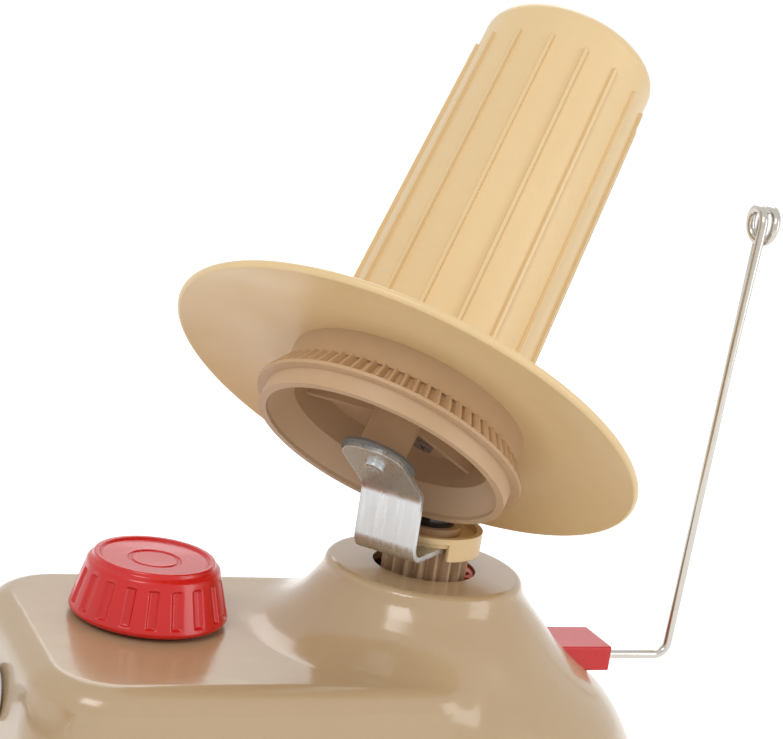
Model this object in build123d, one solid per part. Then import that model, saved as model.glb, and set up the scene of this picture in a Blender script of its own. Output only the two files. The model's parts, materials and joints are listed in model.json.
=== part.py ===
from build123d import *
import math
import os

os.makedirs("parts", exist_ok=True)

# Yarn cone winder, millimetres and degrees. Z is up and the underside of the base is Z = 0. The
# spindle turns about the Z axis, +X runs along the body towards the yarn guide, the crank is on -X.

# ---------------------------------------------------------------- driving dimensions
# Body
PLATEAU_TOP = 58.0
PLATEAU_HALF_WIDTH = 46.0
PLATEAU_LEFT = -114.0
PLATEAU_RIGHT = 10.0
PLATEAU_CORNER = 22.0
PLATEAU_EDGE = 7.0
DRAFT = 3.0
HUMP_HEIGHT = 19.0
HUMP_TOP_R = 27.5
HUMP_EDGE = 2.0
VALLEY_R = 22.0
TAIL_END = 76.0
TAIL_R = 56.0
WALL = 2.4
CASING_FOOT = 0.4
SPINDLE_HOLE_R = 14.4
BOSS_R = 4.0
BASE_THICK = 3.0
BASE_GAP = 0.8
PAD_R = 6.0
PAD_DEPTH = 1.2
SCREW_R = 1.5
SCREW_HEAD_R = 2.8
SCREW_HEAD_H = 1.6
SCREW_LENGTH = 9.0

# Clearances
RUN_GAP = 0.05
FREE_GAP = 0.3
SEAT_GAP = 0.02
THREAD_HOLE_GAP = 0.25

# Crank and drive gears
CRANK_Z = 40.0
CRANK_R = 2.5
CRANK_ARM = 58.0
CRANK_BEND = 10.0
CRANK_WALL_GAP = 3.0
BUSH_WALL = 2.5
BUSH_FLANGE = 1.6
BUSH_LENGTH = 12.0
GRIP_LENGTH = 32.0
GRIP_R = 8.0
GRIP_CAP = 1.2
DRIVE_MODULE = 1.2
CROWN_TEETH = 56
SPINDLE_TEETH = 18
CROWN_FACE = 5.2
CROWN_WEB = 3.0
CROWN_HUB_R = 6.5
CROWN_WINDOWS = 6
DRIVE_BACKLASH = 0.35
CROWN_ROOM = 0.3
BEARING_X = 27.0
BEARING_LENGTH = 8.0
BEARING_R = 9.0
LUG = 7.5
LUG_HEIGHT = 12.0

# Spindle stack
SHAFT_R = 3.0
SHAFT_TIP_R = 2.5
BRIDGE_THICK = 4.0
BRIDGE_HALF_LENGTH = 28.5
BRIDGE_FRONT = 9.0
BRIDGE_BACK = 14.0
BRIDGE_BOSS_Y = 22.5
BRIDGE_HUB_R = 6.5
PINION_LIFT = 2.4
PINION_ABOVE = 7.6
STRIP = 1.5
STRIP_WIDTH = 18.0
STRIP_BEND = 4.0
FOOT_BEHIND = 9.0
CUP_R = 14.6
CUP_WALL = 1.6
CUP_FLOOR = 1.2
CUP_HEIGHT = 6.4
CUP_OVERHANG = 2.0
CUP_OPENING = 98.0
CUP_SCREW_AT = 6.2
CUP_SCREW_R = 1.0
CUP_SCREW_HEAD = 2.0
DISC_R = 8.5
DISC_THICK = 2.0
SUN_DISC_R = 6.5
SUN_DISC_THICK = 2.6
SUN_NECK_R = 3.3

# Tilted cone
TILT = 37.5
LEAN_AZ = 39.3
APEX_ABOVE_HUMP = 85.8
CONE_MODULE = 1.0
RING_TEETH = 70
SUN_TEETH = 10
CONE_BACKLASH = 0.30
MESH_ABOVE_RIM = 7.5
SUN_FACE = 3.8
SUN_LIP_GAP = 0.8
LIP_R = 37.0
LIP_AT = 4.6
LIP_THICK = 1.0
DRUM_R = 34.5
DRUM_WALL = 2.1
TOOTH_TOP = 10.6
RING_NECK_R = 32.6
RING_HEIGHT = 17.6
CAVITY_STEP = 7.0
CAVITY_R = 27.5
WEB_THICK = 2.4
HUB_R = 6.5
HUB_DROP = 0.2
RING_RIBS = 6
RIB_THICK = 1.6
RIB_INSET = 4.5
AXLE_R = 2.5
AXLE_END = 108.0
AXLE_SCREW_R = 1.2
AXLE_SCREW_HEAD_R = 2.5
TAB_DROP = 2.0
TAB_REACH = 8.4
TAB_CORNER = 7.0
PLATE_AT = 26.5
WASHER_R = 10.4
WASHER_THICK = 0.75
CLIP_THICK = 1.2
CLIP_WIDTH = 2.2
FLANGE_R = 65.0
FLANGE_THICK = 2.2
FLANGE_DROP = 3.8
FLANGE_FLAT_R = 44.0
CONE_BOTTOM_R = 27.2
CONE_TOP_R = 25.7
CONE_RIB_TOP = 120.6
CONE_HEIGHT = 132.4
CONE_CAP_R = 20.5
CONE_CAP_DROP = 5.0
CONE_WALL = 1.8
CONE_RIB = 0.9
CONE_RIB_WIDTH = 1.1
CONE_RIBS = 16
CONE_SCREW_AT = 20.0
CONE_SCREWS = 3
CONE_BOSS_HEIGHT = 12.0
BUSH_R = 5.4

# Table clamp
KNOB_X = -75.0
KNOB_Y = 8.0
KNOB_LIFT = 1.2
KNOB_HEIGHT = 16.1
KNOB_BOTTOM_R = 21.4
KNOB_SHOULDER_R = 17.6
KNOB_TOP_R = 16.2
KNOB_SHOULDER = 2.0
KNOB_BAND = 2.4
KNOB_BAND_TOP = 4.0
KNOB_FLUTES = 19
KNOB_FLUTE_R = 1.6
KNOB_FLUTE_DEPTH = 0.7
KNOB_RIM = 1.6
KNOB_DISH = 0.9
KNOB_BUTTON_R = 6.8
KNOB_BUTTON_DROP = 0.4
KNOB_ROOF = 2.0
KNOB_NECK_R = 9.0
ROD_R = 3.0
TENON_R = 1.8
SLEEVE_R = 4.4
SLEEVE_BOTTOM = 15.0
CLAMP_TRAVEL = 40.0
JAW_THICK = 3.0
JAW_WIDTH = 26.0
JAW_LENGTH = 50.0
JAW_OFFSET = 14.0
JAW_LIFT = 0.8
JAW_CORNER = 5.0
PAD_THICK = 2.6
PAD_LENGTH = 24.0
GUIDE_PIN_R = 2.0
GUIDE_PIN_AT = 10.0
GUIDE_PIN_ROOM = 2.0
POCKET_WALL = 2.0
POCKET_GAP = 3.0
POCKET_ROOF = 9.2
PIN_GUIDE_HEIGHT = 12.0

# Yarn guide
HOLDER_LENGTH = 24.0
HOLDER_WIDTH = 17.0
HOLDER_HEIGHT = 7.5
HOLDER_BELOW_PLATEAU = 2.0
HOLDER_END = 59.5
HOLDER_EDGE = 0.8
WIRE_R = 1.25
WIRE_ABOVE_HOLDER_FOOT = 2.0
WIRE_X = 83.0
WIRE_BEND = 4.0
WIRE_TOP = 181.0
WIRE_LEAN = 2.4
EYE_R = 4.6
EYE_PITCH = 4.2
EYE_CORNER = 0.96
TAIL_LENGTH = 34.0
TAIL_LEAN = 3.3
COLLAR_WIDTH = 2.0
COLLAR_WALL = 1.4

# ---------------------------------------------------------------- sizes worked out from them
HUMP_TOP = PLATEAU_TOP + HUMP_HEIGHT
SIN_TILT = math.sin(math.radians(TILT))
COS_TILT = math.cos(math.radians(TILT))
LEAN = math.radians(LEAN_AZ)
FLANK = math.tan(math.radians(20.0))
TOOTH_HIGH = 0.9
TOOTH_DEEP = 1.2
SPINDLE_PITCH_R = SPINDLE_TEETH * DRIVE_MODULE / 2
CROWN_PITCH_R = CROWN_TEETH * DRIVE_MODULE / 2
CROWN_TIP_X = SPINDLE_PITCH_R - TOOTH_HIGH * DRIVE_MODULE
CROWN_ROOT_X = SPINDLE_PITCH_R + TOOTH_DEEP * DRIVE_MODULE
CROWN_HUB_END = BEARING_X - FREE_GAP
WALL_X = PLATEAU_LEFT - DRAFT * (PLATEAU_TOP - CRANK_Z) / (PLATEAU_TOP - CASING_FOOT)
ELBOW_X = WALL_X - CRANK_WALL_GAP - CRANK_BEND
GRIP_OUTER = ELBOW_X - CRANK_BEND - GRIP_LENGTH - 1
RING_PITCH_R = RING_TEETH * CONE_MODULE / 2
SUN_PITCH_R = SUN_TEETH * CONE_MODULE / 2
MESH_FROM_APEX = (RING_PITCH_R * COS_TILT + SUN_PITCH_R) / SIN_TILT
RIM_FROM_APEX = MESH_FROM_APEX + MESH_ABOVE_RIM
APEX_Z = HUMP_TOP + APEX_ABOVE_HUMP
CONE_DISTANCE = math.hypot(RING_PITCH_R, MESH_FROM_APEX)
SUN_COS = math.sqrt(1 - (SUN_PITCH_R / CONE_DISTANCE) ** 2)
LIP_TOP = LIP_AT + LIP_THICK
SUN_START = RIM_FROM_APEX - LIP_TOP - SUN_LIP_GAP
SUN_END = SUN_START - SUN_FACE
BRIDGE_TOP = PLATEAU_TOP
BRIDGE_FOOT = BRIDGE_TOP - BRIDGE_THICK
PINION_BOTTOM = BRIDGE_TOP + PINION_LIFT
PINION_TOP = HUMP_TOP + PINION_ABOVE
CUP_SEAT = PINION_TOP + STRIP
DISC_BOTTOM = CUP_SEAT + CUP_FLOOR + FREE_GAP
SUN_BOTTOM = DISC_BOTTOM + DISC_THICK
NECK_BOTTOM = SUN_BOTTOM + SUN_DISC_THICK
CONE_SEAT = RING_HEIGHT + FLANGE_THICK
KNOB_BOTTOM = PLATEAU_TOP + KNOB_LIFT
KNOB_SOCKET_TOP = KNOB_BOTTOM + KNOB_HEIGHT - KNOB_DISH - KNOB_BUTTON_DROP - KNOB_ROOF
JAW_TOP = JAW_LIFT + JAW_THICK
JAW_LEFT = KNOB_X - JAW_OFFSET
GUIDE_PIN_X = KNOB_X - GUIDE_PIN_AT
HOLDER_TOP = PLATEAU_TOP - HOLDER_BELOW_PLATEAU
HOLDER_FOOT = HOLDER_TOP - HOLDER_HEIGHT
HOLDER_START = HOLDER_END - HOLDER_LENGTH
WIRE_Z = HOLDER_FOOT + WIRE_ABOVE_HOLDER_FOOT

OUT = Vector(math.cos(LEAN), math.sin(LEAN), 0)
CONE_DIR = OUT * SIN_TILT + Vector(0, 0, COS_TILT)
DOWN_SLOPE = OUT * COS_TILT - Vector(0, 0, SIN_TILT)
# The cone's own frame: its axis is local Z, measured from the ring gear's bottom rim.
CONE_PLANE = Plane(origin=Vector(0, 0, APEX_Z) - CONE_DIR * RIM_FROM_APEX, x_dir=DOWN_SLOPE, z_dir=CONE_DIR)
# The bracket is bent in the upright plane through both axes: local x outwards, local y up.
BRACKET_PLANE = Plane(origin=(0, 0, 0), x_dir=OUT * -1, z_dir=(OUT * -1).cross(Vector(0, 0, 1)))


# ---------------------------------------------------------------- helpers
def cylinder(radius, low, high, x=0.0, y=0.0):
    return Pos(x, y, low) * Cylinder(radius, high - low, align=(Align.CENTER, Align.CENTER, Align.MIN))


def tube(outer, inner, low, high, x=0.0, y=0.0):
    return cylinder(outer, low, high, x, y) - cylinder(inner, low - 1, high + 1, x, y)


def block(x_low, x_high, y_low, y_high, low, high):
    return Pos(x_low, y_low, low) * Box(x_high - x_low, y_high - y_low, high - low, align=(Align.MIN,) * 3)


def along_x(shape, y=0.0, z=CRANK_Z):
    """Lay a shape that was built about Z along X."""
    return Pos(0, y, z) * Rot(0, 90, 0) * shape


def on_cone(shape):
    return CONE_PLANE.location * shape


def turned(points):
    """Revolve an outline of (radius, height) points about Z."""
    return revolve(make_face(Polyline(*[(r, 0, z) for r, z in points], close=True)), Axis.Z)


def upright_edges(shape):
    return shape.edges().filter_by(Axis.Z)


def gear_face(teeth, module, backlash, scale=1.0, phase=0.0):
    """Outline of a straight-flanked gear with one tooth centred on the phase angle."""
    size = module * scale
    pitch_r = teeth * size / 2
    tip_r = pitch_r + TOOTH_HIGH * size
    root_r = pitch_r - TOOTH_DEEP * size
    half = math.pi * size / 4 - backlash / 2
    tip_half = half - TOOTH_HIGH * size * FLANK
    root_half = half + TOOTH_DEEP * size * FLANK
    points = []
    for tooth in range(teeth):
        middle = math.radians(phase) + 2 * math.pi * tooth / teeth
        corners = (root_r, -root_half), (tip_r, -tip_half), (tip_r, tip_half), (root_r, root_half)
        for radius, across in corners:
            angle = middle + across / radius
            points.append((radius * math.cos(angle), radius * math.sin(angle)))
    return make_face(Polyline(*points, close=True))


def screw_up(seat, length, radius=SCREW_R, head_r=SCREW_HEAD_R, head_h=SCREW_HEAD_H):
    """Cross-recess screw driven upwards along Z, its head under the seat."""
    screw = cylinder(radius - SEAT_GAP, seat - 0.1, seat + length) + cylinder(head_r, seat - head_h, seat)
    arm = head_r * 0.62
    for turn in (0, 90):
        screw = screw - Pos(0, 0, seat - head_h) * Rot(0, 0, turn) * Box(2 * arm, 0.3 * arm, head_h)
    return screw


def save(shape, name):
    pieces = shape if isinstance(shape, list) else [shape]
    solids = [solid for piece in pieces for solid in piece.solids()]
    result = solids[0] if len(solids) == 1 else Compound(children=solids)
    result.label = name
    export_step(result, f"parts/{name}.step")


# ---------------------------------------------------------------- body shell
def hump_sections():
    """Rows of (height, right end, radius); the flank flares out towards the foot."""
    reach = TAIL_END - HUMP_TOP_R
    spread = TAIL_R - HUMP_TOP_R
    shares = (
        (0.065, 0.989, 0.996), (0.13, 0.971, 0.989), (0.26, 0.920, 0.965), (0.39, 0.841, 0.926),
        (0.51, 0.730, 0.853), (0.61, 0.577, 0.700), (0.71, 0.373, 0.484), (0.81, 0.210, 0.300),
        (0.91, 0.064, 0.095),
    )
    rows = [(CASING_FOOT, TAIL_END, TAIL_R)]
    for height, far, wide in shares:
        rows.append((HUMP_TOP * height, HUMP_TOP_R + reach * far, HUMP_TOP_R + spread * wide))
    rows.append((HUMP_TOP, HUMP_TOP_R, HUMP_TOP_R))
    return rows


def hump_body(inset=0.0):
    return loft([(Pos(far - r, 0, z) * Circle(r - inset)).face() for z, far, r in hump_sections()])


def plateau_outline(height, grow):
    left = PLATEAU_LEFT - grow
    middle = Pos((left + PLATEAU_RIGHT) / 2, 0, height)
    corner = PLATEAU_CORNER + min(grow, 0)
    return (middle * RectangleRounded(PLATEAU_RIGHT - left, 2 * (PLATEAU_HALF_WIDTH + grow), corner)).face()


def plateau_body(inset, top, edge):
    body = loft([plateau_outline(CASING_FOOT, DRAFT - inset), plateau_outline(top, -inset)], ruled=True)
    return fillet(body.faces().sort_by(Axis.Z)[-1].edges(), edge)


def casing():
    hump = hump_body()
    hump = fillet(hump.faces().sort_by(Axis.Z)[-1].edges(), HUMP_EDGE)
    plateau = plateau_body(0.0, PLATEAU_TOP, PLATEAU_EDGE)
    shell = plateau + hump
    shell = fillet(new_edges(plateau, hump, combined=shell), VALLEY_R)
    hollow_hump = hump_body(WALL * 1.25) & block(-200, 200, -200, 200, -1, HUMP_TOP - WALL)
    shell = shell - plateau_body(WALL, PLATEAU_TOP - WALL, PLATEAU_EDGE - WALL) - hollow_hump
    for post in casing_posts():
        shell = shell + post
    neck = cylinder(KNOB_NECK_R, PLATEAU_TOP - WALL, KNOB_BOTTOM - FREE_GAP, KNOB_X, KNOB_Y)
    shell = shell + neck - cylinder(SLEEVE_R + FREE_GAP, PLATEAU_TOP - 2 * WALL, KNOB_BOTTOM, KNOB_X, KNOB_Y)
    shell = shell - cylinder(SPINDLE_HOLE_R, HUMP_TOP - 3 * WALL, HUMP_TOP + 1)
    shell = shell - along_x(cylinder(CRANK_R + BUSH_WALL, PLATEAU_LEFT - 20, PLATEAU_LEFT + 20))
    shell = shell - crown_room()
    return shell - holder_block(0.0)


def crown_room():
    """Relief under the hump's top for the crown gear, which nearly reaches it."""
    radius = CROWN_PITCH_R + CROWN_FACE / 2 + CROWN_ROOM
    room = along_x(cylinder(radius, CROWN_TIP_X - CROWN_ROOM, CROWN_ROOT_X + CROWN_WEB + CROWN_ROOM))
    return room & block(0, CROWN_HUB_END, -SPINDLE_HOLE_R, SPINDLE_HOLE_R, PLATEAU_TOP, HUMP_TOP)


def base_screw_places():
    left = PLATEAU_LEFT + 13
    side = PLATEAU_HALF_WIDTH - 8
    tail_x = TAIL_END - TAIL_R * 0.36
    tail_y = TAIL_R * 0.56
    front = [(left, 5 - side), (-30, -side), (tail_x, -tail_y)]
    return front + [(x, -y) for x, y in front]


def bridge_screw_places():
    middle = (BRIDGE_FRONT - BRIDGE_BACK) / 2
    return [(middle, BRIDGE_BOSS_Y), (middle, -BRIDGE_BOSS_Y)]


def casing_posts():
    """Posts down to the base plate and down to the spindle bridge, with pilot holes."""
    posts = []
    for x, y in base_screw_places():
        top = PLATEAU_TOP - WALL / 2 if x < 0 else PLATEAU_TOP * 0.3
        posts.append(tube(BOSS_R, SCREW_R, BASE_THICK, top, x, y) + cylinder(BOSS_R, top - 4, top, x, y))
    for x, y in bridge_screw_places():
        top = HUMP_TOP - WALL / 2
        posts.append(tube(BOSS_R, SCREW_R, BRIDGE_TOP, top, x, y) + cylinder(BOSS_R, top - 4, top, x, y))
    return posts


def crank_bush():
    """Flanged bush in the left wall, its flange on the outside."""
    face = WALL_X - 0.7
    body = cylinder(CRANK_R + BUSH_WALL - SEAT_GAP, face, face + BUSH_LENGTH)
    flange = cylinder(CRANK_R + 2 * BUSH_WALL, face - BUSH_FLANGE, face)
    return along_x(body + flange - cylinder(CRANK_R + RUN_GAP, face - 20, face + 20))


# ---------------------------------------------------------------- base
def pocket(grow, low, high):
    """Room under the body for the clamp's jaw."""
    margin = POCKET_GAP + grow
    half = JAW_WIDTH / 2 + margin
    return block(JAW_LEFT - margin, JAW_LEFT + JAW_LENGTH + margin, KNOB_Y - half, KNOB_Y + half, low, high)


def pad_places():
    left = PLATEAU_LEFT + 26
    return [(left, 36.0), (left, -30.0), (38.0, 40.0), (38.0, -40.0)]


def bearing_screw_places():
    middle = BEARING_X + BEARING_LENGTH / 2
    return [(middle, BEARING_R + 3.5), (middle, -BEARING_R - 3.5)]


def base_plate():
    inset = WALL * 1.25 + BASE_GAP
    tail = Pos(TAIL_END - TAIL_R, 0, 0) * Circle(TAIL_R - inset)
    plate = extrude(plateau_outline(0, DRAFT - inset), BASE_THICK) + extrude(tail.face(), BASE_THICK)
    plate = plate + pocket(POCKET_WALL, 0, POCKET_ROOF + POCKET_WALL) - pocket(0.0, -1, POCKET_ROOF)
    plate = plate + cylinder(SLEEVE_R + 2, POCKET_ROOF, SLEEVE_BOTTOM - FREE_GAP, KNOB_X, KNOB_Y)
    pin_guide_top = POCKET_ROOF + PIN_GUIDE_HEIGHT
    plate = plate + cylinder(GUIDE_PIN_R + 2, POCKET_ROOF, pin_guide_top, GUIDE_PIN_X, KNOB_Y)
    plate = plate - cylinder(ROD_R + FREE_GAP, POCKET_ROOF - 1, SLEEVE_BOTTOM + 1, KNOB_X, KNOB_Y)
    plate = plate - cylinder(GUIDE_PIN_R + RUN_GAP, POCKET_ROOF - 1, POCKET_ROOF + 30, GUIDE_PIN_X, KNOB_Y)
    for x, y in base_screw_places() + bearing_screw_places():
        plate = plate - cylinder(SCREW_R + THREAD_HOLE_GAP, -1, BASE_THICK + 1, x, y)
        plate = plate - cylinder(SCREW_HEAD_R + FREE_GAP, -1, SCREW_HEAD_H + FREE_GAP, x, y)
    for x, y in pad_places():
        plate = plate - cylinder(PAD_R + SEAT_GAP, -1, PAD_DEPTH, x, y)
    return plate


def base_screws():
    return [Pos(x, y, SCREW_HEAD_H + FREE_GAP) * screw_up(0, SCREW_LENGTH)
            for x, y in base_screw_places() + bearing_screw_places()]


def base_pads():
    return [cylinder(PAD_R, 0, PAD_DEPTH, x, y) for x, y in pad_places()]


def axle_bearing():
    """Upright block on the base that carries the inner end of the crank axle."""
    ends = (BEARING_X, BEARING_X + BEARING_LENGTH)
    post = block(*ends, -BEARING_R, BEARING_R, BASE_THICK, CRANK_Z) + along_x(cylinder(BEARING_R, *ends))
    post = post + block(*ends, -BEARING_R - LUG, BEARING_R + LUG, BASE_THICK, BASE_THICK + LUG_HEIGHT)
    post = post - along_x(cylinder(CRANK_R + RUN_GAP, ends[0] - 1, ends[1] + 1))
    for x, y in bearing_screw_places():
        post = post - cylinder(SCREW_R, BASE_THICK - 1, BASE_THICK + LUG_HEIGHT - 2, x, y)
    return post


# ---------------------------------------------------------------- crank
def crank_rod():
    """One bent rod: axle along X, arm towards -Y, handle pin outwards along -X."""
    path = FilletPolyline(
        (BEARING_X + BEARING_LENGTH + 4, 0, CRANK_Z), (ELBOW_X, 0, CRANK_Z), (ELBOW_X, -CRANK_ARM, CRANK_Z),
        (GRIP_OUTER - GRIP_CAP, -CRANK_ARM, CRANK_Z), radius=CRANK_BEND,
    )
    section = Plane(origin=path @ 0, z_dir=path % 0) * Circle(CRANK_R)
    return sweep(section.face(), path=path)


def crank_grip():
    low = GRIP_OUTER
    high = GRIP_OUTER + GRIP_LENGTH
    bore = CRANK_R + RUN_GAP
    waist = GRIP_R * 0.84
    profile = make_face(
        Polyline((bore, 0, low), (GRIP_R - 1, 0, low))
        + Spline((GRIP_R - 1, 0, low), (GRIP_R, 0, low + 4), (waist, 0, high - 8), (waist + 0.8, 0, high))
        + Polyline((waist + 0.8, 0, high), (bore, 0, high), (bore, 0, low))
    )
    return along_x(revolve(profile, Axis.Z), -CRANK_ARM)


def grip_cap():
    """Round cap pushed on the end of the handle pin."""
    low = GRIP_OUTER - 2 * GRIP_CAP
    cap = cylinder(CRANK_R + 2 * GRIP_CAP, low, GRIP_OUTER - FREE_GAP)
    cap = fillet(cap.edges().group_by(Axis.Z)[0], GRIP_CAP)
    return along_x(cap - cylinder(CRANK_R + SEAT_GAP, GRIP_OUTER - GRIP_CAP, GRIP_OUTER), -CRANK_ARM)


def crank_gear():
    """Crown gear on the axle; its teeth face -X and mesh with the spindle pinion at the top."""
    inner = CROWN_PITCH_R - CROWN_FACE / 2
    outer = CROWN_PITCH_R + CROWN_FACE / 2
    gear = cylinder(outer, CROWN_ROOT_X, CROWN_ROOT_X + CROWN_WEB)
    for place in PolarLocations(CROWN_PITCH_R * 0.55, CROWN_WINDOWS):
        gear = gear - place * cylinder(CROWN_HUB_R - 0.5, 0, 2 * CROWN_ROOT_X)
    gear = gear + cylinder(CROWN_HUB_R, CROWN_ROOT_X, CROWN_HUB_END)
    gear = gear - cylinder(CRANK_R + SEAT_GAP, 0, CROWN_HUB_END + 1)
    half = math.pi * DRIVE_MODULE / 4 - DRIVE_BACKLASH / 2
    tip_half = half - TOOTH_HIGH * DRIVE_MODULE * FLANK
    root_half = half + TOOTH_DEEP * DRIVE_MODULE * FLANK
    tooth_root = CROWN_ROOT_X + 0.01
    profile = make_face(Polyline(
        (inner, -root_half, tooth_root), (inner, -tip_half, CROWN_TIP_X), (inner, tip_half, CROWN_TIP_X),
        (inner, root_half, tooth_root), close=True,
    ))
    tooth = extrude(profile, CROWN_FACE, dir=(1, 0, 0))
    gear = gear + [Rot(0, 0, 360 * (i + 0.5) / CROWN_TEETH) * tooth for i in range(CROWN_TEETH)]
    return along_x(gear) - cylinder(SCREW_R, CRANK_Z, CRANK_Z + 2 * CROWN_HUB_R, *grub_place())


def grub_place():
    return (CROWN_ROOT_X + CROWN_WEB + CROWN_HUB_END) / 2, 0


def crank_gear_screw():
    low = CRANK_Z + CRANK_R + SEAT_GAP
    screw = cylinder(SCREW_R - SEAT_GAP, low, CRANK_Z + CROWN_HUB_R, *grub_place())
    return screw - Pos(grub_place()[0], 0, CRANK_Z + CROWN_HUB_R) * Box(4, 0.5, 1.2)


def axle_clip():
    start = BEARING_X + BEARING_LENGTH + FREE_GAP
    return along_x(tube(CRANK_R + CLIP_WIDTH, CRANK_R + SEAT_GAP, start, start + CLIP_THICK))


# ---------------------------------------------------------------- spindle, fixed pieces
def spindle_bridge():
    """Bar across the hump, under the casing's posts, that holds the centre shaft."""
    bar = block(-BRIDGE_BACK, BRIDGE_FRONT, -BRIDGE_HALF_LENGTH, BRIDGE_HALF_LENGTH, BRIDGE_FOOT, BRIDGE_TOP)
    bar = fillet(upright_edges(bar), 5.0)
    bar = bar + cylinder(BRIDGE_HUB_R, BRIDGE_FOOT - 3, PINION_BOTTOM - FREE_GAP)
    bar = bar - cylinder(SHAFT_R + SEAT_GAP, BRIDGE_FOOT - 4, PINION_BOTTOM)
    for x, y in bridge_screw_places():
        bar = bar - cylinder(SCREW_R + THREAD_HOLE_GAP, BRIDGE_FOOT - 1, BRIDGE_TOP + 1, x, y)
    return bar


def bridge_screws():
    screw = screw_up(0, SCREW_LENGTH + BRIDGE_THICK)
    return [Pos(x, y, BRIDGE_FOOT) * screw for x, y in bridge_screw_places()]


def sun_height(distance):
    """Height of the sun's section that meets the ring's section at this distance from the apex."""
    return APEX_Z - distance * CONE_DISTANCE / MESH_FROM_APEX * SUN_COS


def centre_shaft():
    top = sun_height(SUN_END)
    shaft = cylinder(SHAFT_R, BRIDGE_FOOT - 3, SUN_BOTTOM) + cylinder(SHAFT_TIP_R, SUN_BOTTOM - 1, top)
    return shaft - cylinder(AXLE_SCREW_R, top - 10, top + 1)


def spacer_disc():
    return tube(DISC_R, SHAFT_R + SEAT_GAP, DISC_BOTTOM, SUN_BOTTOM)


def sun_pinion():
    """Fixed bevel pinion at the top of the shaft, with a broad disc under it."""
    sections = []
    for distance in (SUN_START, SUN_END):
        face = gear_face(SUN_TEETH, CONE_MODULE, CONE_BACKLASH, distance / MESH_FROM_APEX, LEAN_AZ + 180)
        sections.append((Pos(0, 0, sun_height(distance)) * face).face())
    body = loft(sections, ruled=True) + cylinder(SUN_NECK_R, NECK_BOTTOM, sun_height(SUN_START) + 1)
    body = body + cylinder(SUN_DISC_R, SUN_BOTTOM, NECK_BOTTOM)
    return body - cylinder(SHAFT_TIP_R + SEAT_GAP, SUN_BOTTOM - 1, APEX_Z)


def sun_screw():
    top = sun_height(SUN_END)
    shank = cylinder(AXLE_SCREW_R - SEAT_GAP, top - 8, top + 0.1)
    return shank + cylinder(SHAFT_TIP_R + 0.5, top, top + 1.2) - Pos(0, 0, top + 1.2) * Box(4, 0.6, 1.2)


# ---------------------------------------------------------------- spindle, turning pieces
def cup_screw_places():
    side = Vector(-OUT.Y, OUT.X, 0) * CUP_SCREW_AT
    return [(side.X, side.Y), (-side.X, -side.Y)]


def spindle_pinion():
    face = Pos(0, 0, PINION_BOTTOM) * gear_face(SPINDLE_TEETH, DRIVE_MODULE, DRIVE_BACKLASH)
    gear = extrude(face.face(), PINION_TOP - PINION_BOTTOM)
    gear = gear - cylinder(SHAFT_R + RUN_GAP, 0, APEX_Z)
    for x, y in cup_screw_places():
        gear = gear - cylinder(CUP_SCREW_R, PINION_TOP - 8, PINION_TOP + 1, x, y)
    return gear


def carrier_cup():
    """Cup clamped on the bracket's foot; its wall is cut away below, where the foot comes out."""
    low = PINION_TOP - CUP_OVERHANG
    wall = tube(CUP_R, CUP_R - CUP_WALL, low, low + CUP_HEIGHT)
    wedge = [(0, 0)]
    for share in (0.0, 0.25, 0.5, 0.75, 1.0):
        angle = math.radians(LEAN_AZ + 180 + CUP_OPENING * (share - 0.5))
        wedge.append((2 * CUP_R * math.cos(angle), 2 * CUP_R * math.sin(angle)))
    mouth = extrude(make_face(Polyline(*wedge, close=True)), CUP_SEAT + CUP_FLOOR - low)
    wall = wall - Pos(0, 0, low) * mouth
    cup = wall + cylinder(CUP_R - CUP_WALL / 2, CUP_SEAT, CUP_SEAT + CUP_FLOOR)
    cup = cup - cylinder(SHAFT_R + FREE_GAP, 0, APEX_Z)
    for x, y in cup_screw_places():
        cup = cup - cylinder(CUP_SCREW_R + THREAD_HOLE_GAP, 0, APEX_Z, x, y)
        cup = cup - cylinder(CUP_SCREW_HEAD + SEAT_GAP, CUP_SEAT + CUP_FLOOR / 3, APEX_Z, x, y)
    return cup


def cup_screws():
    """Screws with flat heads sunk in the cup's floor, down into the pinion."""
    seat = CUP_SEAT + CUP_FLOOR / 3
    top = CUP_SEAT + CUP_FLOOR
    screw = cylinder(CUP_SCREW_R - SEAT_GAP, PINION_TOP - 7, top) + cylinder(CUP_SCREW_HEAD, seat, top)
    return [Pos(x, y, 0) * screw for x, y in cup_screw_places()]


def tab_height(outwards):
    """Height of the tab's middle plane at this distance out from the spindle."""
    slant = RIM_FROM_APEX + TAB_DROP
    return APEX_Z - slant * COS_TILT + (outwards - slant * SIN_TILT) * SIN_TILT / COS_TILT


def bracket():
    """Bent strip: foot on the pinion, upright plate, tab square to the cone's axle."""
    foot = PINION_TOP + STRIP / 2
    end = (RIM_FROM_APEX + TAB_DROP) * SIN_TILT + TAB_REACH * COS_TILT
    path = BRACKET_PLANE.location * FilletPolyline(
        (-FOOT_BEHIND, foot), (PLATE_AT, foot), (PLATE_AT, tab_height(PLATE_AT)), (end, tab_height(end)),
        radius=STRIP_BEND,
    )
    section = Plane(origin=path @ 0, x_dir=(0, 0, 1), z_dir=path % 0) * Rectangle(STRIP, STRIP_WIDTH)
    strip = sweep(section.face(), path=path)
    corners = strip.edges().filter_by(Axis((0, 0, 0), CONE_DIR))
    corners = corners.filter_by(lambda edge: edge.length < 2 * STRIP)
    strip = fillet(corners, TAB_CORNER)
    strip = strip - on_cone(cylinder(AXLE_SCREW_R + THREAD_HOLE_GAP, -3 * TAB_DROP, 0))
    strip = strip - cylinder(SHAFT_R + FREE_GAP, 0, CUP_SEAT + 1)
    for x, y in cup_screw_places():
        strip = strip - cylinder(CUP_SCREW_R + THREAD_HOLE_GAP, 0, CUP_SEAT + 1, x, y)
    return strip


def cone_axle():
    low = -TAB_DROP + STRIP / 2
    return on_cone(cylinder(AXLE_R, low, AXLE_END) - cylinder(AXLE_SCREW_R, low - 1, low + 8))


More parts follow.
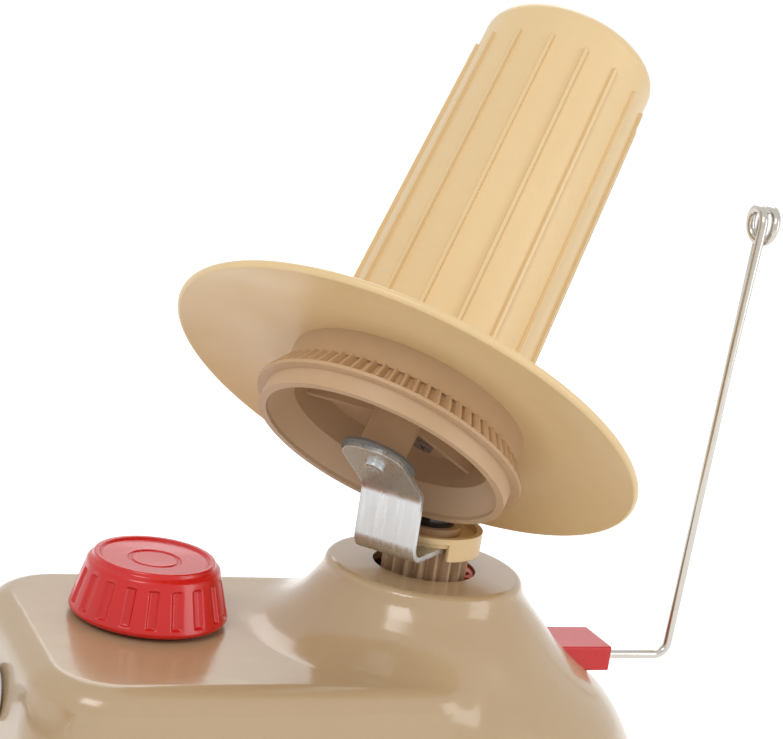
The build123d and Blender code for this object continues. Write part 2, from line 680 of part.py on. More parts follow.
def axle_screw():
    seat = -TAB_DROP - STRIP / 2
    screw = screw_up(seat, STRIP + 7, AXLE_SCREW_R, AXLE_SCREW_HEAD_R, 1.2)
    return on_cone(Rot(0, 0, 30) * screw)


def axle_washer():
    low = -TAB_DROP + STRIP / 2
    return on_cone(tube(WASHER_R, AXLE_R + SEAT_GAP, low, low + WASHER_THICK))


def cone_axle_clip():
    low = AXLE_END - 2.5 * CLIP_THICK
    return on_cone(tube(AXLE_R + CLIP_WIDTH, AXLE_R + SEAT_GAP, low, low + CLIP_THICK))


# ---------------------------------------------------------------- cone and what turns with it
def tooth_root(height):
    scale = (RIM_FROM_APEX - height) / MESH_FROM_APEX
    return (RING_PITCH_R - TOOTH_DEEP * CONE_MODULE) * scale


def ring_gear():
    """Bevel ring: teeth over a thin lip, a smooth drum below and an open, ribbed cavity."""
    sections = []
    for height in (LIP_TOP - 0.05, TOOTH_TOP):
        scale = (RIM_FROM_APEX - height) / MESH_FROM_APEX
        face = gear_face(RING_TEETH, CONE_MODULE, CONE_BACKLASH, scale, 180 / RING_TEETH)
        sections.append((Pos(0, 0, height) * face).face())
    body = loft(sections, ruled=True) + turned([
        (0, 0), (DRUM_R, 0), (DRUM_R, LIP_AT), (LIP_R, LIP_AT), (LIP_R, LIP_TOP),
        (tooth_root(LIP_TOP), LIP_TOP), (tooth_root(TOOTH_TOP), TOOTH_TOP), (RING_NECK_R, TOOTH_TOP),
        (RING_NECK_R, RING_HEIGHT), (0, RING_HEIGHT),
    ])
    web_low = RING_HEIGHT - WEB_THICK
    rim_inner = DRUM_R - DRUM_WALL
    body = body - turned([
        (HUB_R, -1), (rim_inner, -1), (rim_inner, 1), (CAVITY_R, CAVITY_STEP), (CAVITY_R, web_low),
        (HUB_R, web_low),
    ])
    half = RIB_THICK / 2
    rib = block(HUB_R - 1, CAVITY_R + 1, -half, half, CAVITY_STEP + RIB_INSET, web_low + 1)
    for turn in range(RING_RIBS):
        body = body + Rot(0, 0, 360 * (turn + 0.5) / RING_RIBS) * rib
    body = body + cylinder(HUB_R, -HUB_DROP, 1) - cylinder(AXLE_R + RUN_GAP, -10, RING_HEIGHT + 1)
    for place in cone_screw_places():
        body = body - place * cylinder(SCREW_R + THREAD_HOLE_GAP, 0, RING_HEIGHT + 1)
    return on_cone(body)


def cone_screw_places():
    return PolarLocations(CONE_SCREW_AT, CONE_SCREWS)


def flange():
    """Dished disc: flat middle, then a curve down to a rounded rim."""
    rim = RING_HEIGHT - FLANGE_DROP
    bend_r = (FLANGE_FLAT_R + FLANGE_R) / 2
    bend = RING_HEIGHT - FLANGE_DROP * 0.3
    half = FLANGE_THICK / 2
    edge_r = FLANGE_R - half
    hole = BUSH_R + SEAT_GAP
    outline = (
        Polyline((hole, 0, CONE_SEAT), (hole, 0, RING_HEIGHT), (FLANGE_FLAT_R, 0, RING_HEIGHT))
        + ThreePointArc((FLANGE_FLAT_R, 0, RING_HEIGHT), (bend_r, 0, bend), (edge_r, 0, rim))
        + ThreePointArc((edge_r, 0, rim), (FLANGE_R, 0, rim + half), (edge_r, 0, rim + FLANGE_THICK))
        + ThreePointArc((edge_r, 0, rim + FLANGE_THICK), (bend_r, 0, bend + FLANGE_THICK),
                        (FLANGE_FLAT_R, 0, CONE_SEAT))
        + Line((FLANGE_FLAT_R, 0, CONE_SEAT), (hole, 0, CONE_SEAT))
    )
    disc = revolve(make_face(outline), Axis.Z)
    for place in cone_screw_places():
        disc = disc - place * cylinder(SCREW_R + THREAD_HOLE_GAP, 0, 2 * CONE_SEAT)
    return on_cone(disc)


def cone():
    """Hollow ribbed cone with a smooth band and a rounded closed top."""
    band_r = CONE_TOP_R - CONE_RIB
    foot_r = CONE_BOTTOM_R - CONE_RIB
    shoulder = CONE_HEIGHT - CONE_CAP_DROP
    roof = CONE_HEIGHT - CONE_WALL
    corner = ((CONE_CAP_R + 3 * band_r) / 4, 0, (3 * CONE_HEIGHT + shoulder) / 4 - 0.25)
    outline = (
        Polyline((0, 0, CONE_HEIGHT), (0, 0, roof), (CONE_CAP_R - 1, 0, roof),
                 (band_r - CONE_WALL, 0, shoulder - 2), (foot_r - CONE_WALL, 0, CONE_SEAT),
                 (foot_r, 0, CONE_SEAT), (band_r, 0, shoulder))
        + ThreePointArc((band_r, 0, shoulder), corner, (CONE_CAP_R, 0, CONE_HEIGHT))
        + Line((CONE_CAP_R, 0, CONE_HEIGHT), (0, 0, CONE_HEIGHT))
    )
    body = revolve(make_face(outline), Axis.Z)
    inner = CONE_RIB + CONE_WALL / 2
    profile = make_face(Polyline(
        (CONE_BOTTOM_R - inner, 0, CONE_SEAT), (CONE_BOTTOM_R, 0, CONE_SEAT), (CONE_TOP_R, 0, CONE_RIB_TOP),
        (CONE_TOP_R - inner, 0, CONE_RIB_TOP), close=True,
    ))
    rib = extrude(profile, CONE_RIB_WIDTH / 2, both=True)
    for turn in range(CONE_RIBS):
        body = body + Rot(0, 0, 360 * (turn + 0.5) / CONE_RIBS) * rib
    body = body + tube(BUSH_R + CONE_WALL, BUSH_R + SEAT_GAP, AXLE_END - 14, roof + 0.5)
    reach = foot_r - CONE_WALL / 2 - CONE_SCREW_AT
    boss_top = CONE_SEAT + CONE_BOSS_HEIGHT
    for place in cone_screw_places():
        boss = cylinder(BOSS_R, CONE_SEAT, boss_top) + block(0, reach, -1, 1, CONE_SEAT, boss_top)
        body = body + place * (boss - cylinder(SCREW_R, CONE_SEAT - 1, boss_top - 1.5))
    return on_cone(body)


def cone_bush():
    """Long bearing sleeve between the ring's web and the cone's top, round the axle."""
    return on_cone(tube(BUSH_R, AXLE_R + RUN_GAP, RING_HEIGHT, AXLE_END - 2.5 * CLIP_THICK - FREE_GAP))


def cone_screws():
    seat = RING_HEIGHT - WEB_THICK
    length = WEB_THICK + FLANGE_THICK + SCREW_LENGTH
    return [on_cone(place * screw_up(seat, length)) for place in cone_screw_places()]


# ---------------------------------------------------------------- table clamp
def clamp_knob():
    """Fluted knob, wider at the foot, with a raised rim round a shallow dish."""
    low = KNOB_BOTTOM
    top = low + KNOB_HEIGHT
    dish = top - KNOB_DISH
    body = turned([
        (0, low), (KNOB_BOTTOM_R - 1, low), (KNOB_BOTTOM_R, low + 1), (KNOB_SHOULDER_R, top - KNOB_SHOULDER),
        (KNOB_TOP_R, top - KNOB_SHOULDER * 0.7), (KNOB_TOP_R, top), (KNOB_TOP_R - KNOB_RIM, top),
        (KNOB_TOP_R - KNOB_RIM - 0.6, dish), (KNOB_BUTTON_R, dish),
        (KNOB_BUTTON_R - 0.4, dish - KNOB_BUTTON_DROP), (0, dish - KNOB_BUTTON_DROP),
    ])
    slope = (KNOB_BOTTOM_R - KNOB_SHOULDER_R) / (KNOB_HEIGHT - KNOB_SHOULDER - 1)
    start_r = KNOB_BOTTOM_R - slope * (KNOB_BAND - 1) + KNOB_FLUTE_R - KNOB_FLUTE_DEPTH
    rise = KNOB_HEIGHT - KNOB_BAND - KNOB_BAND_TOP
    start = Vector(start_r, 0, low + KNOB_BAND)
    path = Line(start, start + Vector(-slope * rise, 0, rise))
    groove = sweep((Plane(origin=start, z_dir=path % 0) * Circle(KNOB_FLUTE_R)).face(), path=path)
    for turn in range(KNOB_FLUTES):
        body = body - Rot(0, 0, 360 * turn / KNOB_FLUTES) * groove
    body = body - tube(KNOB_BOTTOM_R - 4.5, KNOB_NECK_R + 1, low - 1, low + 6)
    body = body - cylinder(SLEEVE_R + SEAT_GAP, low - 1, KNOB_SOCKET_TOP)
    return Pos(KNOB_X, KNOB_Y, 0) * body


def clamp_sleeve():
    """Long nut fixed in the knob; the rod climbs and sinks in it as it turns."""
    return tube(SLEEVE_R, ROD_R + RUN_GAP, SLEEVE_BOTTOM, KNOB_SOCKET_TOP - SEAT_GAP, KNOB_X, KNOB_Y)


def clamp_rod():
    rod = cylinder(ROD_R, JAW_TOP, KNOB_SOCKET_TOP - 1, KNOB_X, KNOB_Y)
    return rod + cylinder(TENON_R - SEAT_GAP, JAW_LIFT + 0.3, JAW_TOP + 1, KNOB_X, KNOB_Y)


def jaw_guide_pin():
    top = PLATEAU_TOP - WALL - GUIDE_PIN_ROOM
    pin = cylinder(GUIDE_PIN_R, JAW_TOP, top, GUIDE_PIN_X, KNOB_Y)
    return pin + cylinder(TENON_R * 0.7 - SEAT_GAP, JAW_LIFT + 0.3, JAW_TOP + 1, GUIDE_PIN_X, KNOB_Y)


def clamp_jaw():
    half = JAW_WIDTH / 2
    plate = block(JAW_LEFT, JAW_LEFT + JAW_LENGTH, KNOB_Y - half, KNOB_Y + half, JAW_LIFT, JAW_TOP)
    plate = fillet(upright_edges(plate), JAW_CORNER)
    plate = plate - cylinder(TENON_R, -1, JAW_TOP + 1, KNOB_X, KNOB_Y)
    return plate - cylinder(TENON_R * 0.7, -1, JAW_TOP + 1, GUIDE_PIN_X, KNOB_Y)


def clamp_pad():
    x_high = JAW_LEFT + JAW_LENGTH - 2
    half = JAW_WIDTH / 2 - 2
    pad = block(x_high - PAD_LENGTH, x_high, KNOB_Y - half, KNOB_Y + half, JAW_TOP, JAW_TOP + PAD_THICK)
    return fillet(upright_edges(pad), JAW_CORNER - 2)


# ---------------------------------------------------------------- yarn guide
def holder_block(gap):
    half = HOLDER_WIDTH / 2 - gap
    return block(HOLDER_START, HOLDER_END - gap, -half, half, HOLDER_FOOT + gap, HOLDER_TOP - gap)


def guide_holder():
    body = holder_block(FREE_GAP / 3)
    body = fillet(body.edges().filter_by(Axis.X), HOLDER_EDGE)
    return body - along_x(cylinder(WIRE_R + RUN_GAP, 0, 2 * HOLDER_END), 0, WIRE_Z)


def guide_path():
    """Centre line of the wire: leg, bend, riser, one and a half turns of the eye, free tail."""
    top_x = WIRE_X + (WIRE_TOP - WIRE_Z) * math.tan(math.radians(WIRE_LEAN))
    corners = [(HOLDER_START + 1, 0, WIRE_Z), (WIRE_X, 0, WIRE_Z)]
    # Corners of the square that each turn of the eye is rounded from, one for each quarter turn.
    for quarter, (across, up) in enumerate(((0, 1), (-2, 1), (-2, -1), (0, -1), (0, 1), (-2, 1))):
        x = top_x - EYE_PITCH * (quarter + 0.5) / 4
        corners.append((x, across * EYE_R, WIRE_TOP + up * EYE_R))
    lean = math.radians(TAIL_LEAN)
    reach = TAIL_LENGTH + 2 * EYE_R
    x, y, z = corners[-1]
    corners.append((x - reach * math.sin(lean), y, z - reach * math.cos(lean)))
    return FilletPolyline(*corners, radius=[WIRE_BEND] + [EYE_CORNER * EYE_R] * 6)


def guide_wire():
    path = guide_path()
    report_least_gap(path)
    section = Plane(origin=path @ 0, z_dir=path % 0) * Circle(WIRE_R)
    return sweep(section.face(), path=path)


def report_least_gap(path):
    """Print the least gap between two passes of the wire."""
    count = 600
    points = [path @ (i / count) for i in range(count + 1)]
    apart = int(count * 4 * EYE_R / path.length) + 1
    pairs = ((points[i] - points[j]).length for i in range(count + 1) for j in range(i + apart, count + 1))
    print("least gap between passes of the guide wire:", round(min(pairs) - 2 * WIRE_R, 2), "mm")


def guide_collar():
    ring = tube(WIRE_R + COLLAR_WALL, WIRE_R + SEAT_GAP, HOLDER_END + 0.2, HOLDER_END + 0.2 + COLLAR_WIDTH)
    return along_x(ring, 0, WIRE_Z)


PARTS = (
    casing, base_plate, base_screws, base_pads, axle_bearing, crank_bush, spindle_bridge, bridge_screws,
    centre_shaft, spacer_disc, sun_pinion, sun_screw, guide_holder, crank_rod, crank_gear, crank_gear_screw,
    axle_clip, grip_cap, crank_grip, spindle_pinion, carrier_cup, cup_screws, bracket, cone_axle, axle_screw,
    axle_washer, cone_axle_clip, ring_gear, flange, cone, cone_bush, cone_screws, clamp_knob, clamp_sleeve,
    clamp_rod, jaw_guide_pin, clamp_jaw, clamp_pad, guide_wire, guide_collar,
)

for make in PARTS:
    save(make(), make.__name__)
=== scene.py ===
import json
import math
import bpy
import bmesh
from mathutils import Vector, Matrix


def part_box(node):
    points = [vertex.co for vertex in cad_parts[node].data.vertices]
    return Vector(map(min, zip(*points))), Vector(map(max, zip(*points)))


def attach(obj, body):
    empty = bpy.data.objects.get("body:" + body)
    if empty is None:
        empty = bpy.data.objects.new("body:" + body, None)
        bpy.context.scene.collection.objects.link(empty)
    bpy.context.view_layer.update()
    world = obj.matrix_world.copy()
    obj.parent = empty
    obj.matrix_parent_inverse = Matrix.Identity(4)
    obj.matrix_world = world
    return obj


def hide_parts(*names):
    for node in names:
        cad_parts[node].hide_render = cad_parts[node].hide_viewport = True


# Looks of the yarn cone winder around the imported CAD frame. Metres, Z up, +X towards the yarn guide.

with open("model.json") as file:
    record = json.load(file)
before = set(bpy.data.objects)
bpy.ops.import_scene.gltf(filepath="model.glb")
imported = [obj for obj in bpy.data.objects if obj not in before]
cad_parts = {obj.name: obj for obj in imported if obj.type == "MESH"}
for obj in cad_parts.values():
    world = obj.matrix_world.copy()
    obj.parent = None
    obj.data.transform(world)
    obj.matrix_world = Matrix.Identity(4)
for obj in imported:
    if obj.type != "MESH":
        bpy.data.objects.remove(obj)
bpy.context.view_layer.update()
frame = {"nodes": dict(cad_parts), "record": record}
nodes = frame["nodes"]
scene = bpy.context.scene
scene.view_settings.view_transform = "Standard"
MM = 0.001

# ---------------------------------------------------------------- camera
IMAGE_WIDTH = 783
FOCAL_PX = 2000.0
SENSOR = 36.0
CLIP_NEAR = 0.01
CLIP_FAR = 20.0
CAMERA_AT = Vector((-0.232192, -0.479199, 0.241673))
CAMERA_RIGHT = Vector((0.915518, -0.373076, 0.150468))
CAMERA_UP = Vector((-0.057966, 0.247794, 0.967077))


def make_camera():
    data = bpy.data.cameras.new("camera")
    data.sensor_fit = "HORIZONTAL"
    data.sensor_width = SENSOR
    data.lens = SENSOR * FOCAL_PX / IMAGE_WIDTH
    data.clip_start = CLIP_NEAR
    data.clip_end = CLIP_FAR
    camera = bpy.data.objects.new("camera", data)
    scene.collection.objects.link(camera)
    back = CAMERA_RIGHT.cross(CAMERA_UP).normalized()
    up = back.cross(CAMERA_RIGHT).normalized()
    turn = Matrix((CAMERA_RIGHT.normalized(), up, back)).transposed()
    camera.matrix_world = Matrix.Translation(CAMERA_AT) @ turn.to_4x4()
    scene.camera = camera


# ---------------------------------------------------------------- materials
NOISE_MIDDLE = (0.3, 0.7)
BEVEL_SAMPLES = 4
# Noise scales are per metre; bump heights are in metres.
FLOW_SCALE, CLOUD_SCALE, SMEAR_SCALE = 26.0, 300.0, 70.0
SKIN_SCALE, SKIN_HEIGHT = 38.0, 0.0012
GRAIN_SCALE, GRAIN_HEIGHT, GRAIN_STRENGTH = 600.0, 0.00004, 0.15
CLOUD_SHARE, CLOUD_GAIN = 0.35, 0.95
COAT_ROUGH, PLASTIC_IOR = 0.06, 1.5
SSS_SCALE, SSS_RADIUS = 0.004, (1.0, 0.6, 0.3)
METAL_TONE_SCALE, METAL_FINE_SCALE, METAL_FINE_HEIGHT = 120.0, 900.0, 0.00003
METAL_WAVE_SCALE, METAL_WAVE_HEIGHT = 90.0, 0.0006
NOISE_ROUGH = 0.6


def linear(value):
    return value / 12.92 if value <= 0.04045 else ((value + 0.055) / 1.055) ** 2.4


def colour(red, green, blue, gain=1.0):
    """An sRGB colour as the linear one that a shader takes."""
    return tuple(min(linear(v) * gain, 1.0) for v in (red, green, blue)) + (1.0,)


class Finish:
    """A material and short calls that add its nodes."""

    def __init__(self, name):
        self.material = bpy.data.materials.new(name)
        self.material.use_nodes = True
        self.tree = self.material.node_tree
        self.shader = self.tree.nodes["Principled BSDF"]
        place = self.tree.nodes.new("ShaderNodeTexCoord")
        self.place = place.outputs["Object"]

    def node(self, kind, **settings):
        made = self.tree.nodes.new(kind)
        for key, value in settings.items():
            setattr(made, key, value)
        return made

    def link(self, source, target):
        self.tree.links.new(source, target)

    def noise(self, scale, detail=3.0, rough=0.5, stretch=None):
        made = self.node("ShaderNodeTexNoise")
        made.inputs["Scale"].default_value = scale
        made.inputs["Detail"].default_value = detail
        made.inputs["Roughness"].default_value = rough
        source = self.place
        if stretch:
            mapping = self.node("ShaderNodeMapping")
            mapping.inputs["Scale"].default_value = stretch
            self.link(source, mapping.inputs["Vector"])
            source = mapping.outputs["Vector"]
        self.link(source, made.inputs["Vector"])
        return made.outputs["Fac"]

    def ramp(self, source, low, high):
        """Map a texture's middle range to numbers."""
        made = self.node("ShaderNodeMapRange")
        made.inputs["From Min"].default_value = NOISE_MIDDLE[0]
        made.inputs["From Max"].default_value = NOISE_MIDDLE[1]
        made.inputs["To Min"].default_value = low
        made.inputs["To Max"].default_value = high
        self.link(source, made.inputs["Value"])
        return made.outputs["Result"]

    def mix(self, factor, first, second):
        made = self.node("ShaderNodeMix", data_type="RGBA")
        fac, colour_a, colour_b, result = made.inputs[0], made.inputs[6], made.inputs[7], made.outputs[2]
        for socket, value in ((colour_a, first), (colour_b, second)):
            if isinstance(value, tuple):
                socket.default_value = value
            else:
                self.link(value, socket)
        self.link(factor, fac)
        return result

    def bump(self, source, distance, strength, below=None):
        made = self.node("ShaderNodeBump")
        made.inputs["Distance"].default_value = distance
        made.inputs["Strength"].default_value = strength
        self.link(source, made.inputs["Height"])
        if below is not None:
            self.link(below, made.inputs["Normal"])
        return made.outputs["Normal"]

    def soft_edge(self, radius):
        made = self.node("ShaderNodeBevel", samples=BEVEL_SAMPLES)
        made.inputs["Radius"].default_value = radius
        return made.outputs["Normal"]

    def set(self, **values):
        names = {"metallic": "Metallic", "coat": "Coat Weight", "coat_rough": "Coat Roughness",
                 "sss": "Subsurface Weight", "sss_scale": "Subsurface Scale",
                 "sss_radius": "Subsurface Radius", "ior": "IOR",
                 "specular": "Specular IOR Level", "rough": "Roughness"}
        for key, value in values.items():
            self.shader.inputs[names[key]].default_value = value


def plastic(name, base, rough=0.25, spread=0.05, wave=0.25, edge=0.35, coat=0.0, sss=0.0):
    """Moulded plastic: faint flow marks, an uneven gloss, a slightly wavy skin and a fine grain."""
    finish = Finish(name)
    light = colour(*base, gain=1.0 + spread)
    dark = colour(*base, gain=1.0 - spread)
    tone = finish.mix(finish.ramp(finish.noise(FLOW_SCALE, 4.0), 0.0, 1.0), dark, light)
    cloud = finish.ramp(finish.noise(CLOUD_SCALE, 2.0), 0.0, CLOUD_SHARE)
    tone = finish.mix(cloud, tone, colour(*base, gain=CLOUD_GAIN))
    finish.link(tone, finish.shader.inputs["Base Color"])
    smear = finish.ramp(finish.noise(SMEAR_SCALE, 5.0, NOISE_ROUGH), rough * 0.82, rough * 1.25)
    finish.link(smear, finish.shader.inputs["Roughness"])
    normal = finish.soft_edge(edge * MM)
    normal = finish.bump(finish.noise(SKIN_SCALE, 2.0), SKIN_HEIGHT, wave, normal)
    normal = finish.bump(finish.noise(GRAIN_SCALE, 2.0), GRAIN_HEIGHT, GRAIN_STRENGTH, normal)
    finish.link(normal, finish.shader.inputs["Normal"])
    finish.set(coat=coat, coat_rough=COAT_ROUGH, ior=PLASTIC_IOR)
    if sss:
        finish.set(sss=sss, sss_scale=SSS_SCALE, sss_radius=SSS_RADIUS)
    return finish.material


def metal(name, base, rough=0.2, brushed=None, grain=0.2, edge=0.2, wave=0.1, spread=0.06):
    """Plated or drawn metal: a fine grain, which may be brushed one way, and small changes of gloss."""
    finish = Finish(name)
    light = colour(*base, gain=1.0 + spread)
    dark = colour(*base, gain=1.0 - 2 * spread)
    tone = finish.mix(finish.ramp(finish.noise(METAL_TONE_SCALE, 5.0, NOISE_ROUGH), 0.0, 1.0), dark, light)
    finish.link(tone, finish.shader.inputs["Base Color"])
    fine = finish.noise(METAL_FINE_SCALE, 4.0, NOISE_ROUGH, brushed)
    finish.link(finish.ramp(fine, rough * 0.7, rough * 1.5), finish.shader.inputs["Roughness"])
    normal = finish.soft_edge(edge * MM)
    normal = finish.bump(finish.noise(METAL_WAVE_SCALE, 2.0), METAL_WAVE_HEIGHT, wave, normal)
    normal = finish.bump(fine, METAL_FINE_HEIGHT, grain, normal)
    finish.link(normal, finish.shader.inputs["Normal"])
    finish.set(metallic=1.0)
    return finish.material


PLASTICS = {
    "beige_gloss": dict(base=(0.735, 0.63, 0.49), rough=0.19, spread=0.02, wave=0.30, coat=0.25),
    "cream_plastic": dict(base=(0.92, 0.80, 0.60), rough=0.34, spread=0.015, wave=0.1),
    "tan_gear": dict(base=(0.78, 0.655, 0.52), rough=0.40, spread=0.04, edge=0.2),
    "orange_gear": dict(base=(0.92, 0.34, 0.12), rough=0.35, edge=0.2),
    "red_gloss": dict(base=(0.82, 0.05, 0.05), rough=0.24, spread=0.03, coat=0.15, sss=0.05),
    "black_gloss": dict(base=(0.09, 0.085, 0.08), rough=0.16, coat=0.4, edge=0.2),
    "dark_washer": dict(base=(0.40, 0.38, 0.35), rough=0.50, edge=0.1),
    "white_plastic": dict(base=(0.90, 0.89, 0.86), rough=0.4, edge=0.2),
    "base_grey": dict(base=(0.72, 0.64, 0.52), rough=0.45),
    "rubber": dict(base=(0.14, 0.14, 0.14), rough=0.75, edge=0.3),
}
METALS = {
    "zinc_steel": dict(base=(0.80, 0.81, 0.81), rough=0.30, grain=0.015, wave=0.08, edge=0.35,
                       spread=0.015, brushed=(1.0, 1.0, 0.06)),
    "chrome": dict(base=(0.86, 0.86, 0.86), rough=0.07, grain=0.05, wave=0.05, spread=0.02),
    "nickel_wire": dict(base=(0.76, 0.74, 0.71), rough=0.15, grain=0.1, wave=0.1, spread=0.03),
    "steel": dict(base=(0.68, 0.68, 0.68), rough=0.30, grain=0.2),
    "brass": dict(base=(0.83, 0.70, 0.40), rough=0.28),
}


def make_materials():
    made = {slot: plastic(slot, **values) for slot, values in PLASTICS.items()}
    made.update({slot: metal(slot, **values) for slot, values in METALS.items()})
    return made


def dress_nodes(materials):
    for row in frame["record"]["subparts"]:
        data = nodes[row["node"]].data
        data.materials.clear()
        data.materials.append(materials[row["material_slot"]])


# ---------------------------------------------------------------- stage and light
FLOOR_SIZE = 8.0
FLOOR_DROP = 0.0002
FLOOR_COLOUR = (0.97, 0.97, 0.97)
FLOOR_NOISE = 8.0
FLOOR_ROUGH = 0.9
FLOOR_SPECULAR = 0.1
FLOOR_GLOW = 0.5
WORLD_LIGHT = 0.6
WORLD_SEEN = 1.0
WHITE = (1, 1, 1, 1)
LIGHT_TARGET = (0.0, 0.0, 0.1)


def stage_material(name, base):
    finish = Finish(name)
    uneven = finish.ramp(finish.noise(FLOOR_NOISE), 0.0, 1.0)
    tone = finish.mix(uneven, colour(*base, gain=0.99), colour(*base))
    finish.link(tone, finish.shader.inputs["Base Color"])
    finish.set(rough=FLOOR_ROUGH, specular=FLOOR_SPECULAR)
    return finish.material


def seen_ray(tree):
    """1 for camera, glossy and transmission rays, so that metal reflects what the camera sees."""
    light_path = tree.nodes.new("ShaderNodeLightPath")
    total = light_path.outputs["Is Camera Ray"]
    for other in ("Is Glossy Ray", "Is Transmission Ray"):
        larger = tree.nodes.new("ShaderNodeMath")
        larger.operation = "MAXIMUM"
        tree.links.new(total, larger.inputs[0])
        tree.links.new(light_path.outputs[other], larger.inputs[1])
        total = larger.outputs[0]
    return total


def shader_of(tree, kind, strength):
    """An emission or background node of one strength."""
    made = tree.nodes.new(kind)
    made.inputs["Color"].default_value = WHITE
    made.inputs["Strength"].default_value = strength
    return made.outputs[0]


def mixed_by_ray(tree, unseen, seen):
    """One shader for the rays that are seen and another for the rest."""
    mix = tree.nodes.new("ShaderNodeMixShader")
    tree.links.new(seen_ray(tree), mix.inputs["Fac"])
    tree.links.new(unseen, mix.inputs[1])
    tree.links.new(seen, mix.inputs[2])
    return mix.outputs[0]


def make_floor():
    """Pale paper that keeps the shadow and is lifted towards white where it is seen."""
    bpy.ops.mesh.primitive_plane_add(size=FLOOR_SIZE, location=(0, 0, -FLOOR_DROP))
    floor = bpy.context.object
    floor.name = "floor"
    floor.data.materials.append(stage_material("floor_paper", FLOOR_COLOUR))
    tree = floor.data.materials[0].node_tree
    unseen = shader_of(tree, "ShaderNodeEmission", 0.0)
    seen = shader_of(tree, "ShaderNodeEmission", FLOOR_GLOW)
    total = tree.nodes.new("ShaderNodeAddShader")
    tree.links.new(tree.nodes["Principled BSDF"].outputs[0], total.inputs[0])
    tree.links.new(mixed_by_ray(tree, unseen, seen), total.inputs[1])
    tree.links.new(total.outputs[0], tree.nodes["Material Output"].inputs["Surface"])


def make_world():
    world = bpy.data.worlds.new("studio")
    scene.world = world
    world.use_nodes = True
    tree = world.node_tree
    tree.nodes.clear()
    unseen = shader_of(tree, "ShaderNodeBackground", WORLD_LIGHT)
    seen = shader_of(tree, "ShaderNodeBackground", WORLD_SEEN)
    out = tree.nodes.new("ShaderNodeOutputWorld")
    tree.links.new(mixed_by_ray(tree, unseen, seen), out.inputs["Surface"])


def area_light(name, at, size, power):
    data = bpy.data.lights.new(name, "AREA")
    data.shape = "RECTANGLE"
    data.size, data.size_y = size
    data.energy = power
    light = bpy.data.objects.new(name, data)
    scene.collection.objects.link(light)
    light.location = at
    light.rotation_euler = (Vector(LIGHT_TARGET) - Vector(at)).to_track_quat("-Z", "Y").to_euler()


def make_lights():
    area_light("key", (-0.75, -0.70, 0.95), (0.50, 0.50), 5.0)
    area_light("fill", (0.80, -0.75, 0.30), (0.45, 0.9), 3.2)
    area_light("back", (0.35, 0.95, 0.85), (0.7, 0.7), 2.5)


# ---------------------------------------------------------------- pieces
ON_AXIS = 1e-6
ARM_SHARE = 0.45
CORNER_STEPS = 4


def smooth_step(low, high, value):
    share = min(max((value - low) / (high - low), 0.0), 1.0)
    return share * share * (3.0 - 2.0 * share)


def rounded(points, radius):
    """Round the corners of an open outline of (radius, height) points."""
    result = [points[0]]
    for before, corner, after in zip(points, points[1:], points[2:]):
        here = Vector(corner)
        arms = [(Vector(before) - here), (Vector(after) - here)]
        reach = [min(radius, arm.length * ARM_SHARE) for arm in arms]
        start, end = (here + arm.normalized() * r for arm, r in zip(arms, reach))
        for step in range(CORNER_STEPS + 1):
            t = step / CORNER_STEPS
            point = start * (1 - t) ** 2 + here * (2 * t * (1 - t)) + end * t ** 2
            result.append(tuple(point))
    result.append(points[-1])
    return result


def ring_of(mesh, radius, height, columns, shape):
    """One ring of vertices from mm; a ring on the axis is one vertex, repeated."""
    if radius < ON_AXIS:
        return [mesh.verts.new((0, 0, height * MM))] * columns
    row = []
    for column in range(columns):
        angle = 2 * math.pi * column / columns
        r = shape(radius, height, angle) if shape else radius
        row.append(mesh.verts.new((r * MM * math.cos(angle), r * MM * math.sin(angle), height * MM)))
    return row


def rings(name, profile, columns, place, shape=None):
    """Skin over rings of (radius, height) in mm; shape may change a radius by height and angle."""
    mesh = bmesh.new()
    rows = [ring_of(mesh, radius, height, columns, shape) for radius, height in profile]
    for lower, upper in zip(rows, rows[1:]):
        for column in range(columns):
            following = (column + 1) % columns
            corners = [lower[column], lower[following], upper[following], upper[column]]
            unique = list(dict.fromkeys(corners))
            if len(unique) > 2:
                mesh.faces.new(unique)
    bmesh.ops.recalc_face_normals(mesh, faces=mesh.faces)
    data = bpy.data.meshes.new(name)
    mesh.to_mesh(data)
    mesh.free()
    data.transform(place)
    data.shade_smooth()
    piece = bpy.data.objects.new(name, data)
    scene.collection.objects.link(piece)
    return piece


def finish_piece(piece, slot, body, *replaced):
    piece.data.materials.append(materials[slot])
    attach(piece, body)
    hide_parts(*replaced)


# Knob, in mm: radii, and heights above its bottom or below its top.
KNOB_FLUTES = 19
KNOB_COLUMNS = KNOB_FLUTES * 24
KNOB_FOOT_R, KNOB_FOOT_UP = 21.4, 1.0
KNOB_SHOULDER_R, KNOB_SHOULDER_DOWN = 17.7, 1.9
KNOB_SIDE_R = 17.6
KNOB_BEND = 0.55
FLUTE_UP, FLUTE_DOWN, FLUTE_END = 2.4, 4.2, 0.3
FLUTE_DEPTH, FLUTE_FLAT, FLUTE_EDGE = 0.85, 0.75, 1.65
FINE_STEP, FINE_STEPS, COARSE_STEPS = 0.1, 9, 6


def knob_outline(bottom, top):
    """Half section of the knob, without the fine rings of its side."""
    return rounded([
        (0, bottom + 2.2), (8.5, bottom + 2.2), (9.4, bottom + KNOB_FOOT_UP),
        (16.8, bottom + KNOB_FOOT_UP), (17.4, bottom), (20.6, bottom),
        (KNOB_FOOT_R, bottom + KNOB_FOOT_UP), (KNOB_SHOULDER_R, top - KNOB_SHOULDER_DOWN),
        (16.4, top - 1.3), (16.2, top), (14.9, top), (14.2, top - 0.9), (7.2, top - 1.0),
        (6.9, top - 1.5), (6.3, top - 1.5), (6.0, top - 1.1), (0, top - 1.1),
    ], KNOB_BEND)


